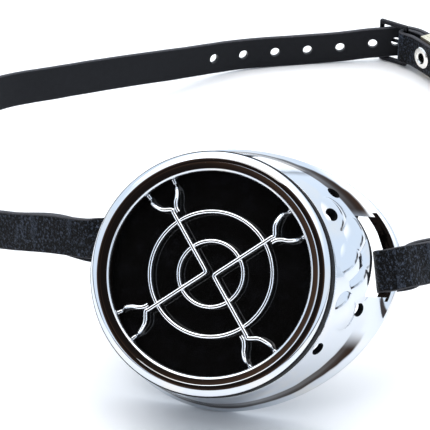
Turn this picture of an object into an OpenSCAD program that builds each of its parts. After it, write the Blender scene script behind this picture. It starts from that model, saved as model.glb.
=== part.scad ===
// Single-eye goggle worn as a monocle: a plated eye cup with a screw-on lens ring,
// a black lens, a wire grille in front of it and a buckled leather strap.
// It lies on the table as in the picture: the cup leans back on its rim and the strap
// loop stands on its edge behind it. +Z is up, -Y is the side that the lens faces.

/* [Eye cup] */
// From the lens axis to the temple corner of the rim
temple_reach = 42; // [38:0.5:46]
// From the lens axis to the nose side of the rim
nose_reach = 33; // [32:0.5:36]
// From the lens axis up to the brow side of the rim
brow_reach = 32; // [31:0.5:36]
// From the lens axis down to the cheek side of the rim
cheek_reach = 32.3; // [31:0.5:36]
// How far the temple corner lies above the lens axis
corner_lift = 4.5; // [0:0.5:8]
// Depth of the cup from the eye rim to the seat of the lens ring
cup_depth = 18.8; // [16:0.2:24]
// Wall of the cup
cup_wall = 1.6; // [1.2:0.1:2]
// Radius of the rounded lip round the rim
lip_r = 1; // [0.8:0.1:1.2]

/* [Lens and ring] */
// Diameter of the lens
lens_d = 50; // [46:0.5:50]
// Thickness of the lens
lens_t = 2; // [1.5:0.1:2.5]
// Thickness of the rubber gasket under the lens
gasket_t = 0.8; // [0.5:0.1:1]
// How far the lip of the ring covers the edge of the lens
lip_cover = 1; // [1:0.1:3]
// Width of the seat under the gasket, from the edge of the lens inwards
seat_width = 2; // [1.5:0.1:3]
// Wall of the lens ring round the neck
ring_wall = 1.9; // [1.7:0.05:2.9]
// From the underside of the ring's lip to its front edge
ring_lip_t = 4.05; // [3.5:0.05:5]
// Wall of the threaded neck
neck_wall = 1.9; // [1.5:0.1:2]
// Clearance of the lens in the neck, and of the neck in the ring, on the radius
thread_clearance = 0.1; // [0.05:0.01:0.2]
// Lift of the ring for each turn
thread_pitch = 1.5; // [1:0.25:2]

/* [Wire grille] */
// Diameter of the grille's wire
wire_d = 1; // [0.8:0.05:1.1]
// Mean radius of the small wire ring
small_ring_r = 7.75; // [6:0.25:10]
// Mean radius of the large wire ring
large_ring_r = 14.7; // [13:0.1:16]
// Height of the bent bars above the lens, centre of the wire
bar_height = 3.4; // [3:0.1:4]
// From the lens axis to the root of a claw
claw_root_r = 18; // [17:0.25:19]

/* [Side pattern and slots] */
// Radius of a raised dome on the temple and nose sides
dome_r = 4.1; // [3:0.1:4.4]
// Height of a dome
dome_height = 0.9; // [0.5:0.1:1.2]
// Angle between neighbouring rows of domes
dome_step = 12.2; // [11:0.2:14]
// Diameter of a vent hole
vent_d = 3.4; // [2.5:0.1:4]
// Length of a strap slot
slot_l = 19.4; // [18:0.2:21]
// Width of a strap slot
slot_w = 2.6; // [2.4:0.1:2.8]
// From the rim's edge to the slot
slot_inset = 4; // [3.6:0.1:4.4]

/* [Strap] */
// Width of the leather strap
strap_w = 10.2; // [9:0.2:11]
// Thickness of the strap
strap_t = 1.4; // [1:0.1:1.5]
// Diameter of the punched holes
hole_d = 3; // [2.6:0.1:3.4]
// Distance between the punched holes
hole_pitch = 10.6; // [9.5:0.1:11]
// Number of holes in the row that stays outside the buckle
hole_count = 6; // [4:1:7]
// Head diameter of the rivets at the slots
rivet_d = 7; // [6:0.25:8]

/* [Buckle] */
// Diameter of the buckle's wire
buckle_wire_d = 1.6; // [1.4:0.1:1.8]
// Length of the buckle from bar to bar
buckle_l = 9; // [8.5:0.25:11]
// Room above and below the strap inside the buckle
buckle_room = 0.4; // [0.3:0.1:0.8]
// Thickness of the prong
prong_d = 1.2; // [1:0.05:1.3]
// Outside diameter of the eyelet
eyelet_d = 7; // [6:0.25:8]
// Width of the keeper along the strap
keeper_w = 6; // [5:0.25:7.5]

/* [Pose on the table] */
// Angle of the lens axis above the table
lens_tilt = 34; // [30:1:38]
// Turn of the cup about the lens axis, temple side up
cup_roll = 7.3; // [4:0.1:10]

/* [Hidden] */

// Centre of the footprint, seen from above, counted from the point below the rim's centre
footprint_x = -15.4;
footprint_y = 75.08;

fine = 96;
wire_fn = 32;
eps = 0.01;

// ---- heights along the lens axis in the cup's own frame: +Z to the front, +X to the temple, +Y up
lens_seat = cup_depth + 0.3;
lens_back = lens_seat + gasket_t;
lens_front = lens_back + lens_t;
lip_under = lens_front + wire_d + 0.05;
ring_front = lip_under + ring_lip_t;
neck_top = lip_under - 0.35;
bars_z = lens_front + bar_height;
wire_rings_z = bars_z - wire_d - 0.02;
seat_r = lens_d / 2 + thread_clearance;
neck_r = seat_r + neck_wall;
skirt_r = neck_r + thread_clearance;
ring_r = skirt_r + ring_wall;
ring_rear = cup_depth + 0.1;
sight_r = lens_d / 2 - seat_width;
body_r = ring_r - 0.7;
plate_t = 1.6;

// ---- rim and wall of the cup
rim_steps = 96;
corner_power = 2 / 1.85;
wall_share = 0.8;
flange_share = 0.22;
wall_rings = 10;

function swell(v, e) = sign(v) * pow(abs(v), e);

// Edge of the rim at an angle round the lens axis
function rim_edge(a) =
    cos(a) >= 0
        ? [temple_reach * swell(cos(a), corner_power),
           corner_lift + (sin(a) >= 0 ? brow_reach - corner_lift : cheek_reach + corner_lift)
               * swell(sin(a), corner_power)]
        : [nose_reach * cos(a), (sin(a) >= 0 ? brow_reach : cheek_reach) * sin(a)];

// How far the wall flares towards the rim at height z: 0 at the ring and 1 at the lip
function flare(z) =
    let (t = (z - 2 * lip_r) / (cup_depth - 2 * lip_r))
    wall_share * (1 - t) + (1 - wall_share) * pow(max(0, 1 - t / flange_share), 2);

function cup_point(a, z, g, inset) =
    let (e = rim_edge(a), n = [cos(a), sin(a)], p = body_r * n * (1 - g) + e * g - inset * n)
    [p[0], p[1], z];

// Sections of the wall as [height, flare, inset], from the rim forward
lip_section = [for (a = [-90:30:60]) [lip_r * (1 + sin(a)), 1, lip_r * (1 - cos(a))]];
outside = concat(lip_section, [
    for (k = [1:wall_rings])
        let (z = 2 * lip_r + (cup_depth - 2 * lip_r) * pow(k / wall_rings, 1.4)) [z, flare(z), 0]
]);
inside = concat([[-12, 1, cup_wall - 0.5], [-eps, 1, cup_wall - 0.5], [0.6 * lip_r, 1, cup_wall]], [
    for (k = [1:wall_rings])
        let (z = 2 * lip_r + (cup_depth - plate_t - 2 * lip_r) * pow(k / wall_rings, 1.4))
        [z - 0.7 * (1 - k / wall_rings), flare(z), cup_wall]
]);

// A solid through the rings of a section, closed by flat ends
module loft(section) {
    rows = len(section);
    points = [for (s = section) for (i = [0:rim_steps - 1]) cup_point(360 * i / rim_steps, s[0], s[1], s[2])];
    sides = [
        for (r = [0:rows - 2]) for (i = [0:rim_steps - 1])
            let (a = r * rim_steps + i, b = r * rim_steps + (i + 1) % rim_steps, c = a + rim_steps, d = b + rim_steps)
            each [[a, c, b], [b, c, d]]
    ];
    rear = [for (i = [0:rim_steps - 1]) i];
    front = [for (i = [rim_steps - 1:-1:0]) (rows - 1) * rim_steps + i];
    polyhedron(points, concat(sides, [rear, front]));
}

// ---- places on the outside of the wall
function wall_at(a, z) = cup_point(a, z, flare(z), 0);
function unit(v) = v / norm(v);
function wall_normal(a, z) =
    unit(cross(wall_at(a + 1, z) - wall_at(a - 1, z), wall_at(a, z + 0.3) - wall_at(a, z - 0.3)));

// Turns children so that their +Z points along n, at p
module along(p, n) {
    translate(p) rotate([0, acos(n[2]), atan2(n[1], n[0])]) children();
}

rear_row_z = 7.6;
front_row_z = 13.4;
middle_row_z = 10.4;
dome_ball_r = (dome_r * dome_r + dome_height * dome_height) / (2 * dome_height);

// Domes as [row, height]: a quincunx on the temple side, each row half a step from the next
dome_places = [
    [2.5, front_row_z], [1.5, middle_row_z], [0.5, front_row_z], [0.5, rear_row_z],
    [-0.5, middle_row_z], [-1.5, front_row_z]
];
vent_places = [[3.4, 7.7], [2.4, 15.2], [-1.5, 9], [-3.05, 15.4]];

module dome(a, z) {
    n = wall_normal(a, z);
    translate(wall_at(a, z) - (dome_ball_r - dome_height) * n) sphere(dome_ball_r, $fn = 64);
}
module vent(a, z) {
    n = wall_normal(a, z);
    along(wall_at(a, z) - 4 * n, n) cylinder(d = vent_d, h = 8, $fn = 32);
}

// ---- strap openings in the rim: a slot at the temple and a window at the nose
slot_mid_y = 5.4;
temple_bar_top = 3.1;
nose_bar_top = 2.2;
nose_bar_w = 2;
strap_play = 0.3;
window_h = strap_t + 2 * strap_play + 0.9;

// Angle at which the rim's edge has height y, found by halving; side is 1 at the temple, -1 at the nose
function rim_angle(y, side, k = 24, lo = -60, hi = 60) =
    k == 0 ? (lo + hi) / 2
    : let (m = (lo + hi) / 2, v = rim_edge(side > 0 ? m : 180 - m)[1])
      v < y ? rim_angle(y, side, k - 1, m, hi) : rim_angle(y, side, k - 1, lo, m);
function edge_point(y, side, inset) =
    let (m = rim_angle(y, side)) [rim_edge(side > 0 ? m : 180 - m)[0] - side * inset, y];

// A flat band that follows the rim's edge, from one inset to another
module edge_band(side, from, to, length) {
    steps = 6;
    ys = [for (k = [0:steps]) slot_mid_y - length / 2 + length * k / steps];
    polygon(concat(
        [for (y = ys) edge_point(y, side, from)],
        [for (k = [steps:-1:0]) edge_point(ys[k], side, to)]
    ));
}

module eye_cup() {
    color("gainsboro") on_cup() difference() {
        union() {
            difference() {
                union() {
                    loft(outside);
                    for (d = dome_places) dome(d[0] * dome_step, d[1]);
                }
                loft(inside);
            }
            translate([0, 0, cup_depth - plate_t])
                cylinder(r = body_r - 0.2, h = plate_t, $fn = fine);
            translate([0, 0, cup_depth - plate_t])
                cylinder(r = neck_r, h = neck_top - cup_depth + plate_t, $fn = fine);
            translate([0, 0, 0.15])
                linear_extrude(temple_bar_top - 0.15) edge_band(1, 1.1, slot_inset, slot_l + 2);
            translate([0, 0, 0.15])
                linear_extrude(nose_bar_top - 0.15) edge_band(-1, 0.9, nose_bar_w, slot_l + 2);
        }
        translate([0, 0, cup_depth - plate_t - 1]) cylinder(r = sight_r, h = 30, $fn = fine);
        translate([0, 0, lens_seat]) cylinder(r = seat_r, h = 30, $fn = fine);
        for (v = vent_places) vent(v[0] * dome_step, v[1]);
        translate([0, 0, -1])
            linear_extrude(cup_depth / 2 + 1) edge_band(1, slot_inset, slot_inset + slot_w, slot_l);
        translate([0, 0, temple_bar_top])
            linear_extrude(cup_depth / 2 - temple_bar_top) edge_band(1, -3, slot_inset + eps, slot_l);
        translate([0, 0, nose_bar_top])
            linear_extrude(window_h) edge_band(-1, -3, nose_bar_w + 5, slot_l);
    }
}

// ---- from the cup's frame to the table
function rim_low(p) =
    (p[0] * sin(cup_roll) + p[1] * cos(cup_roll)) * cos(lens_tilt) + p[2] * sin(lens_tilt);
axis_height = -min([
    for (i = [0:rim_steps - 1]) for (s = lip_section) rim_low(cup_point(360 * i / rim_steps, s[0], s[1], s[2]))
]);
function to_table(p) =
    let (x = p[0] * cos(cup_roll) - p[1] * sin(cup_roll), y = p[0] * sin(cup_roll) + p[1] * cos(cup_roll))
    [x, y * sin(lens_tilt) - p[2] * cos(lens_tilt), axis_height + y * cos(lens_tilt) + p[2] * sin(lens_tilt)];

module on_table() {
    translate([-footprint_x, -footprint_y, 0]) children();
}
module on_cup() {
    on_table()
        translate([0, 0, axis_height])
            rotate([90 - lens_tilt, 0, 0])
                rotate([0, 0, cup_roll])
                    children();
}

// ---- lens, gasket and ring
module lens_gasket() {
    color("dimgray") on_cup()
        translate([0, 0, lens_seat])
            difference() {
                cylinder(d = lens_d - 0.2, h = gasket_t, $fn = fine);
                translate([0, 0, -1]) cylinder(r = sight_r, h = gasket_t + 2, $fn = fine);
            }
}

module lens() {
    color("black") on_cup()
        translate([0, 0, lens_back]) cylinder(d = lens_d, h = lens_t, $fn = fine);
}

module lens_ring() {
    lip_r_in = lens_d / 2 - lip_cover;
    crest_r = ring_r - 2.7;
    groove = 0.3;
    shoulder = [for (a = [0:15:90]) [crest_r + (ring_r - crest_r) * cos(a), ring_front - 2.2 + 2.2 * sin(a)]];
    profile = concat(
        [[skirt_r, ring_rear], [ring_r - groove, ring_rear], [ring_r, ring_rear + groove],
         [ring_r, ring_rear + 1.3], [ring_r - groove, ring_rear + 1.6], [ring_r, ring_rear + 1.9]],
        shoulder,
        [[lip_r_in + 0.8, ring_front - 0.1], [lip_r_in + 0.25, ring_front - 0.4], [lip_r_in, ring_front - 0.95],
         [lip_r_in, lip_under], [skirt_r, lip_under]]
    );
    color("white") on_cup()
        rotate_extrude($fn = fine) polygon(profile);
}

// ---- wire grille
module wire_ring(r) {
    color("silver") on_cup()
        translate([0, 0, wire_rings_z])
            rotate_extrude($fn = fine)
                translate([r, 0]) circle(d = wire_d, $fn = wire_fn);
}
module wire_ring_small() { wire_ring(small_ring_r); }
module wire_ring_large() { wire_ring(large_ring_r); }

// A wire bent at each point, with round ends
module bent_wire(points, d = wire_d) {
    for (i = [0:len(points) - 2]) {
        v = points[i + 1] - points[i];
        along(points[i], unit(v)) cylinder(d = d, h = norm(v), $fn = wire_fn);
    }
    for (p = points) translate(p) sphere(d = d, $fn = wire_fn);
}

// A wire along a smooth path, with rounded ends. The path never points straight up
wire_sides = 14;
function wire_circle(p, t, r) =
    let (s = unit(cross([0, 0, 1], t)), u = cross(t, s))
    [for (k = [0:wire_sides - 1]) p + r * cos(360 * k / wire_sides) * s + r * sin(360 * k / wire_sides) * u];
module smooth_wire(points, d = wire_d) {
    path = curve(points);
    n = len(path) - 1;
    r = d / 2;
    first = unit(path[1] - path[0]);
    last = unit(path[n] - path[n - 1]);
    circles = concat(
        [for (a = [70, 40]) wire_circle(path[0] - r * sin(a) * first, first, r * cos(a))],
        [for (i = [0:n]) wire_circle(path[i], unit(path[min(i + 1, n)] - path[max(i - 1, 0)]), r)],
        [for (a = [40, 70]) wire_circle(path[n] + r * sin(a) * last, last, r * cos(a))]
    );
    end = (len(circles) - 1) * wire_sides;
    sides = [
        for (i = [0:len(circles) - 2]) for (j = [0:wire_sides - 1])
            let (a = i * wire_sides + j, b = i * wire_sides + (j + 1) % wire_sides,
                 c = a + wire_sides, d = b + wire_sides)
            each [[a, c, b], [b, c, d]]
    ];
    caps = [for (j = [1:wire_sides - 2]) each [[0, j, j + 1], [end, end + j + 1, end + j]]];
    polyhedron([for (c = circles) each c], concat(sides, caps));
}

// Angles round the lens axis of the two claws of the left bar
upper_claw_a = 122;
lower_claw_a = 210.5;
tip_r = seat_r - 0.2 - wire_d / 2;
tip_z = lens_front + wire_d / 2;
apex = [-0.85, 0.4];

function polar(r, a, z) = [r * cos(a), r * sin(a), z];

// A tine of a claw: it swings away from the bar, side 1 or -1, and dips under the lip of the ring
function tine(a, side) = [
    polar(claw_root_r + 0.9, a + 5.5 * side, bars_z - 0.05),
    polar(claw_root_r + 2.1, a + 7.7 * side, bars_z - 0.35),
    polar(claw_root_r + 3.8, a + 9 * side, bars_z - 1.1),
    polar(tip_r - 1.4, a + 8.5 * side, tip_z + 0.25),
    polar(tip_r, a + 8.4 * side, tip_z + 0.03)
];
function backwards(v) = [for (i = [len(v) - 1:-1:0]) v[i]];
// A small round bend at a corner between two straight lengths
apex_point = [apex[0], apex[1], bars_z];
// The straight arm from the bend out to the root of a claw
function arm(a) =
    let (root = polar(claw_root_r - 0.3, a, bars_z))
    [for (u = [0.5, 0.72, 0.86, 0.95, 1]) apex_point + u * (root - apex_point)];
function bend_points(a, corner, b) = [
    corner + 4 * unit(a - corner), corner + 1.1 * unit(a - corner),
    corner + 0.18 * (unit(a - corner) + unit(b - corner)),
    corner + 1.1 * unit(b - corner), corner + 4 * unit(b - corner)
];

// Half of the grille's cross: one bent wire with a tine at each end
module wire_bar(turn) {
    upper = concat(arm(upper_claw_a), tine(upper_claw_a, 1));
    lower = concat(arm(lower_claw_a), tine(lower_claw_a, 1));
    color("silver") on_cup()
        rotate([0, 0, turn])
            smooth_wire(concat(backwards(upper), bend_points(upper[0], apex_point, lower[0]), lower));
}
module wire_bar_left() { wire_bar(0); }
module wire_bar_right() { wire_bar(180); }

// The second tine of a claw is a short wire fixed beside the bar
module claw(turn, a) {
    beside = asin((wire_d + 0.12) / (claw_root_r - 1.6));
    color("silver") on_cup()
        rotate([0, 0, turn])
            smooth_wire(concat(
                [polar(claw_root_r - 1.6, a - beside, bars_z), polar(claw_root_r - 0.4, a - beside, bars_z)],
                tine(a, -1)
            ));
}
module claw_upper_left() { claw(0, upper_claw_a); }
module claw_lower_left() { claw(0, lower_claw_a); }
module claw_lower_right() { claw(180, upper_claw_a); }
module claw_upper_right() { claw(180, lower_claw_a); }

// ---- leather strap: each part of it follows a line of points
// [x, y, height, lean of the top towards the inside, distance to the folded layer]
low = strap_w / 2 + 0.12;
frame_half_h = strap_w / 2 + buckle_room + buckle_wire_d / 2;
bar_h = frame_half_h + buckle_wire_d / 2 + 0.02;
back_layer_z = -strap_play - strap_t / 2;
nose_layer_z = nose_bar_top + strap_play + strap_t / 2;
temple_layer_z = temple_bar_top + strap_play + strap_t / 2;
nose_spread = nose_layer_z - back_layer_z;
temple_spread = temple_layer_z - back_layer_z;
near_layer = strap_t + 0.2;
nose_y = 9.8;
temple_y = 2;
turn_reach = 1.8;

function line_point(p, lean, spread) = concat(to_table(p), [lean, spread]);
long_line = [
    line_point(concat(edge_point(nose_y, -1, 3.8), nose_layer_z), lens_tilt, nose_spread),
    line_point(concat(edge_point(nose_y, -1, -1), nose_layer_z), lens_tilt, nose_spread),
    line_point(concat(edge_point(nose_y, -1, -5), nose_layer_z - 0.1), 0.6 * lens_tilt, nose_spread - 0.4),
    [-47, 0.5, axis_height + 5.8, 8, 2.9],
    [-59, 1.8, axis_height + 4.3, 5, near_layer], [-74, 5, axis_height + 3, 2, near_layer],
    [-86.5, 14, axis_height + 1.8, 0, near_layer], [-95, 29, 27.4, -1, near_layer],
    [-99, 48, 26.3, -3, near_layer], [-99, 71, 23.8, -5, near_layer],
    [-94.3, 94.6, 19.4, -6, near_layer], [-82.2, 114.2, 15.2, -6, near_layer],
    [-69.2, 132.4, 11.4, -5, near_layer], [-55, 149.8, 7.9, -3, near_layer],
    [-39.2, 165.4, 5.7, -1, near_layer], [-21.6, 174.6, low, 0, near_layer],
    [-9.5, 179.3, low + 0.4, 0, near_layer], [-1.5, 182.1, bar_h - 0.7, 0, near_layer],
    [3, 183.3, bar_h - 0.3, 0, near_layer], [7.5, 184.9, bar_h, 0, near_layer],
    [11, 185.6, bar_h, 0, near_layer], [14.8, 184.7, bar_h, 0, near_layer],
    [18.5, 182.1, bar_h, 0, near_layer], [24.4, 176.8, bar_h, 0, near_layer],
    [36.2, 164.4, bar_h - 0.3, 0, near_layer]
];
short_line = [
    line_point(concat(edge_point(temple_y, 1, 5), temple_layer_z), lens_tilt, temple_spread),
    line_point(concat(edge_point(temple_y + 0.3, 1, 2), temple_layer_z + 0.1), lens_tilt, temple_spread),
    line_point(concat(edge_point(temple_y + 1.2, 1, -1.8), temple_layer_z - 0.6), 0.95 * lens_tilt, 4.5),
    [46.9, 7.5, axis_height + 7.6, 22, 3.6],
    [52.8, 14.5, axis_height + 6.6, 10, near_layer + 0.05], [59.8, 25.3, axis_height + 4.8, 3, near_layer],
    [66, 41, 28.5, 0, near_layer], [69, 61.5, 25.1, 0, near_layer],
    [68, 85, 21, 0, near_layer], [64, 107.5, 16.4, 0, near_layer],
    [56.5, 128.5, 11, 0, near_layer], [46.5, 147, 6.6, 0, near_layer + 0.2],
    [34.6, 162.6, low + 0.8, 0, 2.6], [22.8, 175.2, bar_h, 0, 3.3],
    [16.8, 180.9, bar_h, 0, 3.3], [14.3, 182.6, bar_h, 0, 3.3],
    [11.7, 183.55, bar_h, 0, 3.3]
];
line_steps = 4;
turn_steps = 8;

function mix_curve(a, b, c, d, t) =
    0.5 * (2 * b + (c - a) * t + (2 * a - 5 * b + 4 * c - d) * t * t + (3 * b - a - 3 * c + d) * t * t * t);
function curve(p) = [
    for (i = [0:len(p) - 2]) for (k = [0:line_steps - 1])
        mix_curve(p[max(i - 1, 0)], p[i], p[i + 1], p[min(i + 2, len(p) - 1)], k / line_steps),
    p[len(p) - 1]
];
function xyz(v) = [v[0], v[1], v[2]];

// A frame of a line: [place, outward normal, direction of the width, direction of the line].
// side is 1 where the line runs with the inside of the loop on its left, -1 where on its right
function frame_at(c, i, side) =
    let (t = unit(xyz(c[min(i + 1, len(c) - 1)]) - xyz(c[max(i - 1, 0)])),
         out = unit(side * cross([0, 0, 1], t) * -1),
         up = side * cross(t, out) * -1, lean = c[i][3],
         n = cos(lean) * out + sin(lean) * up, w = cos(lean) * up - sin(lean) * out)
    [xyz(c[i]), n, w, t];
function frames(c, side) = [for (i = [0:len(c) - 1]) frame_at(c, i, side)];

// The layer folded back along the inside of a line, as a line of its own.
// Its first points, under the rim, are given
function folded_curve(c, side, start) = curve(concat(start, [
    for (k = [len(start) * line_steps:line_steps:len(c) - 1])
        let (f = frame_at(c, k, side)) concat(f[0] - c[k][4] * f[1], [c[k][3]])
]));
function folded(c, side, start) =
    let (b = folded_curve(c, side, start)) [
        for (i = [0:len(b) - 1]) let (f = frame_at(b, i, side)) [f[0], -f[1], f[2], f[3]]
    ];
// The half turn that joins the two layers, bulging by reach
function half_turn(f, spread, reach, away) = [
    for (k = [1:turn_steps - 1])
        let (a = 180 * k / turn_steps,
             n = unit(reach * cos(a) * f[1] + away * spread / 2 * sin(a) * f[3]))
        [f[0] - spread / 2 * f[1] + spread / 2 * cos(a) * f[1] + away * reach * sin(a) * f[3], n, f[2], f[3]]
];

// A flat strap through a list of frames
module ribbon(f, w, t) {
    turn = -sign(cross(f[0][1], f[0][2]) * (f[1][0] - f[0][0]));
    points = [for (s = f) for (c = [[1, 1], [1, -1], [-1, -1], [-1, 1]])
        s[0] + c[0] * turn * t / 2 * s[1] + c[1] * w / 2 * s[2]];
    sides = [
        for (i = [0:len(f) - 2]) for (j = [0:3])
            let (a = 4 * i + j, b = 4 * i + (j + 1) % 4, c = a + 4, d = b + 4)
            each [[a, c, b], [b, c, d]]
    ];
    last = 4 * (len(f) - 1);
    polyhedron(points, concat(sides,
        [[0, 1, 2], [0, 2, 3], [last, last + 2, last + 1], [last, last + 3, last + 2]]));
}

long_curve = curve(long_line);
short_curve = curve(short_line);
long_side = -1;
short_side = 1;
long_frames = frames(long_curve, long_side);
short_frames = frames(short_curve, short_side);
long_back = folded(long_curve, long_side, [
    line_point(concat(edge_point(nose_y, -1, 3.8), back_layer_z), lens_tilt, 0),
    line_point(concat(edge_point(nose_y, -1, -1), back_layer_z - 0.05), lens_tilt, 0),
    line_point(concat(edge_point(nose_y, -1, -5), back_layer_z - 0.3), 0.7 * lens_tilt, 0)
]);
short_back = folded(short_curve, short_side, [
    line_point(concat(edge_point(temple_y, 1, 5), back_layer_z), lens_tilt, 0),
    line_point(concat(edge_point(temple_y + 0.3, 1, 1.9), back_layer_z - 0.1), lens_tilt, 0),
    line_point(concat(edge_point(temple_y + 1, 1, -1.2), back_layer_z - 1), 0.95 * lens_tilt, 0)
]);
short_last = len(short_curve) - 1;
fold_steps = 14;
tab_steps = 23;
near_steps = 19;
heel_spread = 3.3;
near_frames = backwards(rest(short_back, short_last - near_steps));
near_lengths = lengths([for (f = near_frames) f[0]]);

function first(v, n) = [for (i = [0:n]) v[i]];
function rest(v, n) = [for (i = [n:len(v) - 1]) v[i]];

// Cut between the folds on the cup and the strap, as upright planes across the strap
cut_left = -40.5;
cut_right = 44.6;
cut_gap = 0.4;
strap_colour = [0.17, 0.19, 0.22];

module beyond(x, dir) {
    translate([dir > 0 ? x : x - 60, -60, -50]) cube([60, 120, 150]);
}

module strap_fold_left() {
    color(strap_colour) on_table() intersection() {
        ribbon(concat(
            backwards(first(long_back, fold_steps)),
            backwards(half_turn(long_frames[0], nose_spread, turn_reach, -1)),
            first(long_frames, fold_steps)
        ), strap_w, strap_t);
        beyond(cut_left + cut_gap, 1);
    }
}
module strap_fold_right() {
    color(strap_colour) on_table() intersection() {
        ribbon(concat(
            backwards(first(short_back, fold_steps)),
            backwards(half_turn(short_frames[0], temple_spread, turn_reach, -1)),
            first(short_frames, fold_steps)
        ), strap_w, strap_t);
        beyond(cut_right - cut_gap, -1);
    }
}

// ---- holes and rivets sit at a distance along a line
function lengths(c) =
    [for (i = 0, s = 0; i < len(c); s = i < len(c) - 1 ? s + norm(xyz(c[i + 1]) - xyz(c[i])) : s, i = i + 1) s];
function step_at(l, s, i = 0) = i >= len(l) - 2 || l[i + 1] > s ? i : step_at(l, s, i + 1);
function frame_on(f, l, s) =
    let (i = step_at(l, s), u = (s - l[i]) / (l[i + 1] - l[i]))
    [f[i][0] * (1 - u) + f[i + 1][0] * u, unit(f[i][1] * (1 - u) + f[i + 1][1] * u)];
long_lengths = lengths(long_curve);
short_lengths = lengths(short_curve);
rivet_left_s = long_lengths[4 * 4] + 6;
rivet_right_s = short_lengths[4 * 4] + 5;
hole_in_use_s = long_lengths[4 * 19];
hole_in_use_gap = 7.5;
hole_slack = 2.2;

module through(f, l, s, d) {
    at = frame_on(f, l, s);
    along(at[0] - 5 * at[1], at[1]) cylinder(d = d, h = 10, $fn = 32);
}
module punch(s) { through(long_frames, long_lengths, s, hole_d); }

module strap_long() {
    color(strap_colour) on_table() difference() {
        ribbon(long_frames, strap_w, strap_t);
        beyond(cut_left, 1);
        for (k = [0:hole_count - 1]) punch(hole_in_use_s - hole_in_use_gap - hole_pitch * k);
        for (k = [-1:1]) punch(hole_in_use_s + hole_slack / 2 * k);
        punch(hole_in_use_s + hole_slack + hole_pitch);
        punch(hole_in_use_s + hole_slack + 2 * hole_pitch);
        through(long_frames, long_lengths, rivet_left_s, rivet_barrel_d + 0.2);
    }
}
module strap_long_tab() {
    color(strap_colour) on_table() difference() {
        ribbon(backwards(first(long_back, tab_steps)), strap_w, strap_t);
        beyond(cut_left, 1);
        through(long_frames, long_lengths, rivet_left_s, rivet_barrel_d + 0.2);
    }
}

// ---- buckle, on an upright heel bar that the short strap is folded round
heel = short_frames[short_last][0] - heel_spread / 2 * short_frames[short_last][1];
frame_heading = 158;
prong_gap = 0.02;
loop_r_in = buckle_wire_d / 2 + 0.05;
prong_line = buckle_wire_d / 2 + prong_d / 2 + prong_gap;
hook_end = 0.35;
slit_h = 2.4;
loop_h = 1.8;

module at_heel() {
    on_table() translate(heel) rotate([0, 0, frame_heading]) children();
}

module strap_short() {
    color(strap_colour) difference() {
        on_table() difference() {
            ribbon(concat(
                short_frames,
                half_turn(short_frames[short_last], heel_spread, heel_spread / 2, 1),
                near_frames
            ), strap_w, strap_t);
            beyond(cut_right, -1);
            through(short_frames, short_lengths, rivet_right_s, rivet_barrel_d + 0.2);
        }
        at_eyelet() rotate([0, 90, 0])
            cylinder(d = eyelet_barrel_d + 0.25, h = 2.4, center = true, $fn = 32);
        at_heel() translate([-2.6, -4, -slit_h / 2]) cube([7, 4.5, slit_h]);
    }
}
module strap_short_tab() {
    color(strap_colour) on_table() difference() {
        ribbon(backwards(first(short_back, tab_steps)), strap_w, strap_t);
        beyond(cut_right, -1);
        through(short_frames, short_lengths, rivet_right_s, rivet_barrel_d + 0.2);
    }
}

// ---- rivets with a low round head on both sides
rivet_barrel_d = 3;
head_h = 1;

module rivet(f, l, s) {
    at = frame_on(f, l, s);
    front = strap_t / 2 + 0.1;
    back = -near_layer - strap_t / 2 - 0.15;
    ball = (rivet_d * rivet_d / 4 + head_h * head_h) / (2 * head_h);
    arc = asin(rivet_d / 2 / ball);
    dome_front = [for (k = [0:6]) [ball * sin(arc * k / 6), front + head_h - ball + ball * cos(arc * k / 6)]];
    dome_back = [for (k = [6:-1:0]) [ball * sin(arc * k / 6), back - head_h + ball - ball * cos(arc * k / 6)]];
    color("silver") on_table() along(at[0], at[1])
        rotate_extrude($fn = 48)
            polygon(concat(dome_front, [[rivet_barrel_d / 2, front], [rivet_barrel_d / 2, back]], dome_back));
}
module rivet_left() { rivet(long_frames, long_lengths, rivet_left_s); }
module rivet_right() { rivet(short_frames, short_lengths, rivet_right_s); }

// ---- eyelet in the folded end of the short strap, which also holds the keeper
eyelet_s = 9.4;
eyelet_barrel_d = 4;
eyelet_bore_d = 3;
keeper_t = 0.5;

module at_eyelet() {
    at = frame_on(near_frames, near_lengths, eyelet_s);
    on_table() translate(at[0]) rotate([0, 0, atan2(at[1][1], at[1][0])]) children();
}

module eyelet() {
    flange_z = strap_t / 2 + 0.02;
    rolled_z = -strap_t / 2 - keeper_t - 0.1;
    color("silver") at_eyelet() rotate([0, 90, 0])
        rotate_extrude($fn = 64) polygon([
            [eyelet_bore_d / 2, rolled_z - 0.35], [eyelet_barrel_d / 2 + 0.6, rolled_z - 0.35],
            [eyelet_barrel_d / 2 + 0.8, rolled_z - 0.15], [eyelet_barrel_d / 2 + 0.8, rolled_z],
            [eyelet_barrel_d / 2, rolled_z], [eyelet_barrel_d / 2, flange_z],
            [eyelet_d / 2, flange_z], [eyelet_d / 2, flange_z + 0.2],
            [eyelet_d / 2 - 0.4, flange_z + 0.5], [eyelet_bore_d / 2 + 0.5, flange_z + 0.55],
            [eyelet_bore_d / 2, flange_z + 0.3]
        ]);
}

// A flat metal band round the main layer and the tail of the long strap
module keeper() {
    inner = strap_t / 2 + 0.05;
    outer = keeper_outer;
    half_h = strap_w / 2 + 0.3;
    color("silver") at_eyelet() difference() {
        translate([-outer - keeper_t, -keeper_w / 2, -half_h - keeper_t])
            cube([outer + keeper_t - inner, keeper_w, 2 * (half_h + keeper_t)]);
        translate([-outer, -keeper_w, -half_h]) cube([outer - inner - keeper_t, 2 * keeper_w, 2 * half_h]);
        rotate([0, -90, 0]) cylinder(d = eyelet_barrel_d + 0.1, h = inner + keeper_t + 1, $fn = 32);
    }
}
keeper_outer = 6.6;

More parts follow.
